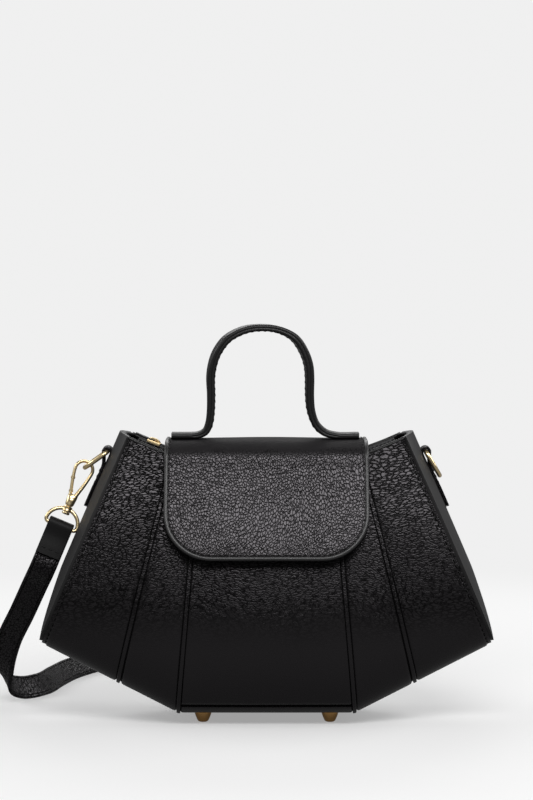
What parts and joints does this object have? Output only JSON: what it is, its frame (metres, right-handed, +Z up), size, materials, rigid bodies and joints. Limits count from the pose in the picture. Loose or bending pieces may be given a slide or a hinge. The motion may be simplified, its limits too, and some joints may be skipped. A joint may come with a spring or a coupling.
{
  "type": "crossbody bag",
  "caption": "Small black pebbled leather crossbody bag with a flared body, front flap, top handle, curved zip mouth, gold feet and D-rings, and a clip-on shoulder strap.",
  "frame": {"origin": "on the ground under the centre of the bag", "axes": "+Z up, front with the flap faces -Y, +X to the right seen from the front"},
  "size_m": [0.3127, 0.2493, 0.2435],
  "materials": {
    "grained_leather": "pebbled black leather, soft sheen",
    "smooth_leather": "smooth black leather",
    "gold_metal": "polished light gold plating",
    "black_cloth": "woven black cloth",
    "plated_steel": "plain plated steel"
  },
  "bodies": {
    "bag": {"front_panel": "grained_leather", "back_panel": "grained_leather", "inner_strip_left": "grained_leather", "inner_strip_right": "grained_leather", "outer_strip_left": "grained_leather", "outer_strip_right": "grained_leather", "base_panel": "grained_leather", "base_board": "black_cloth", "gusset_left": "smooth_leather", "gusset_right": "smooth_leather", "lining": "black_cloth", "zip_end_left": "black_cloth", "zip_end_right": "black_cloth", "flap_anchor": "grained_leather", "front_magnet": "plated_steel", "tab_left": "grained_leather", "tab_right": "grained_leather", "strap_stretch": "grained_leather", "strap_coil": "grained_leather", "strap_tail": "grained_leather", "strap_end_far": "grained_leather", "strap_tie": "black_cloth", "foot_front_left": "gold_metal", "foot_washer_front_left": "plated_steel", "foot_front_right": "gold_metal", "foot_washer_front_right": "plated_steel", "foot_back_left": "gold_metal", "foot_washer_back_left": "plated_steel", "foot_back_right": "gold_metal", "foot_washer_back_right": "plated_steel"},
    "flap": {"flap": "grained_leather", "flap_lining": "black_cloth", "flap_magnet": "plated_steel", "handle": "grained_leather"},
    "zip_slider": {"zip_slider": "gold_metal"},
    "zip_puller": {"zip_puller": "grained_leather"},
    "zip_tape_front_left": {"zip_tape_front_left": "black_cloth"},
    "zip_tape_front_right": {"zip_tape_front_right": "black_cloth"},
    "zip_tape_back_left": {"zip_tape_back_left": "black_cloth"},
    "zip_tape_back_right": {"zip_tape_back_right": "black_cloth"},
    "d_ring_left": {"d_ring_left": "gold_metal"},
    "d_ring_right": {"d_ring_right": "gold_metal"},
    "near_eye": {"strap_end_near": "grained_leather", "swivel_ring_near": "gold_metal"},
    "hook_near": {"hook_near": "gold_metal"},
    "gate_near": {"gate_near": "gold_metal"},
    "far_eye": {"swivel_ring_far": "gold_metal"},
    "hook_far": {"hook_far": "gold_metal"},
    "gate_far": {"gate_far": "gold_metal"}
  },
  "joints": [
    {"name": "flap_hinge", "type": "hinge", "parent": "bag", "child": "flap", "pos_m": [0, 0.03226, 0.1523], "axis": [-1, 0, 0], "range_deg": [0, 140]},
    {"name": "zip_slide", "type": "hinge", "parent": "bag", "child": "zip_slider", "pos_m": [0, 0, 0.35118], "axis": [0, -1, 0], "range_deg": [0, 42.2]},
    {"name": "zip_tape_front_left_swing", "type": "hinge", "parent": "bag", "child": "zip_tape_front_left", "pos_m": [-0.03, -0.0184, 0.158], "axis": [-0.9883, 0, 0.1525], "range_deg": [0, 62]},
    {"name": "zip_tape_front_right_swing", "type": "hinge", "parent": "bag", "child": "zip_tape_front_right", "pos_m": [0.03, -0.0184, 0.158], "axis": [-0.9883, 0, -0.1525], "range_deg": [0, 62]},
    {"name": "zip_tape_back_left_swing", "type": "hinge", "parent": "bag", "child": "zip_tape_back_left", "pos_m": [-0.03, 0.0184, 0.158], "axis": [0.9883, 0, -0.1525], "range_deg": [0, 62]},
    {"name": "zip_tape_back_right_swing", "type": "hinge", "parent": "bag", "child": "zip_tape_back_right", "pos_m": [0.03, 0.0184, 0.158], "axis": [0.9883, 0, 0.1525], "range_deg": [0, 62]},
    {"name": "puller_swing", "type": "hinge", "parent": "zip_slider", "child": "zip_puller", "pos_m": [-0.06981, 0, 0.17084], "axis": [0, 1, 0], "range_deg": [0, 95]},
    {"name": "d_ring_left_swing", "type": "hinge", "parent": "bag", "child": "d_ring_left", "pos_m": [-0.09895, 0, 0.16447], "axis": [0, -1, 0], "range_deg": [0, 5]},
    {"name": "d_ring_right_swing", "type": "hinge", "parent": "bag", "child": "d_ring_right", "pos_m": [0.09895, 0, 0.16447], "axis": [0, -1, 0], "range_deg": [0, 130]},
    {"name": "strap_end_swing", "type": "hinge", "parent": "bag", "child": "near_eye", "pos_m": [-0.11303, 0, 0.15442], "axis": [0, 1, 0], "range_deg": [0, 15], "deforming": ["strap_stretch"]},
    {"name": "hook_near_swivel", "type": "hinge", "parent": "near_eye", "child": "hook_near", "pos_m": [-0.12351, -0.00582, 0.12911], "axis": [-0.3739, -0.208, -0.9038], "range_deg": [-20, 20]},
    {"name": "gate_near_spring", "type": "hinge", "parent": "hook_near", "child": "gate_near", "pos_m": [-0.12176, -0.00383, 0.13856], "axis": [-0.08, 0.9781, -0.192], "range_deg": [0, 25], "stiffness_Nm_per_rad": 0.02},
    {"name": "far_eye_lift", "type": "hinge", "parent": "bag", "child": "far_eye", "pos_m": [0.07814, 0.14735, 0.00429], "axis": [0.7659, -0.6429, 0], "range_deg": [0, 70]},
    {"name": "hook_far_swivel", "type": "hinge", "parent": "far_eye", "child": "hook_far", "pos_m": [0.08541, 0.156, 0.0038], "axis": [-0.6428, -0.7648, 0.043], "continuous": true},
    {"name": "gate_far_spring", "type": "hinge", "parent": "hook_far", "child": "gate_far", "pos_m": [0.09311, 0.16206, 0.00339], "axis": [0.028, 0.033, 0.9991], "range_deg": [0, 25], "stiffness_Nm_per_rad": 0.02}
  ],
  "couplings": [
    {"joint": "zip_tape_front_left_swing", "follows": "zip_slide", "ratio": 1.44},
    {"joint": "zip_tape_front_right_swing", "follows": "zip_slide", "ratio": 1.44},
    {"joint": "zip_tape_back_left_swing", "follows": "zip_slide", "ratio": 1.44},
    {"joint": "zip_tape_back_right_swing", "follows": "zip_slide", "ratio": 1.44}
  ]
}
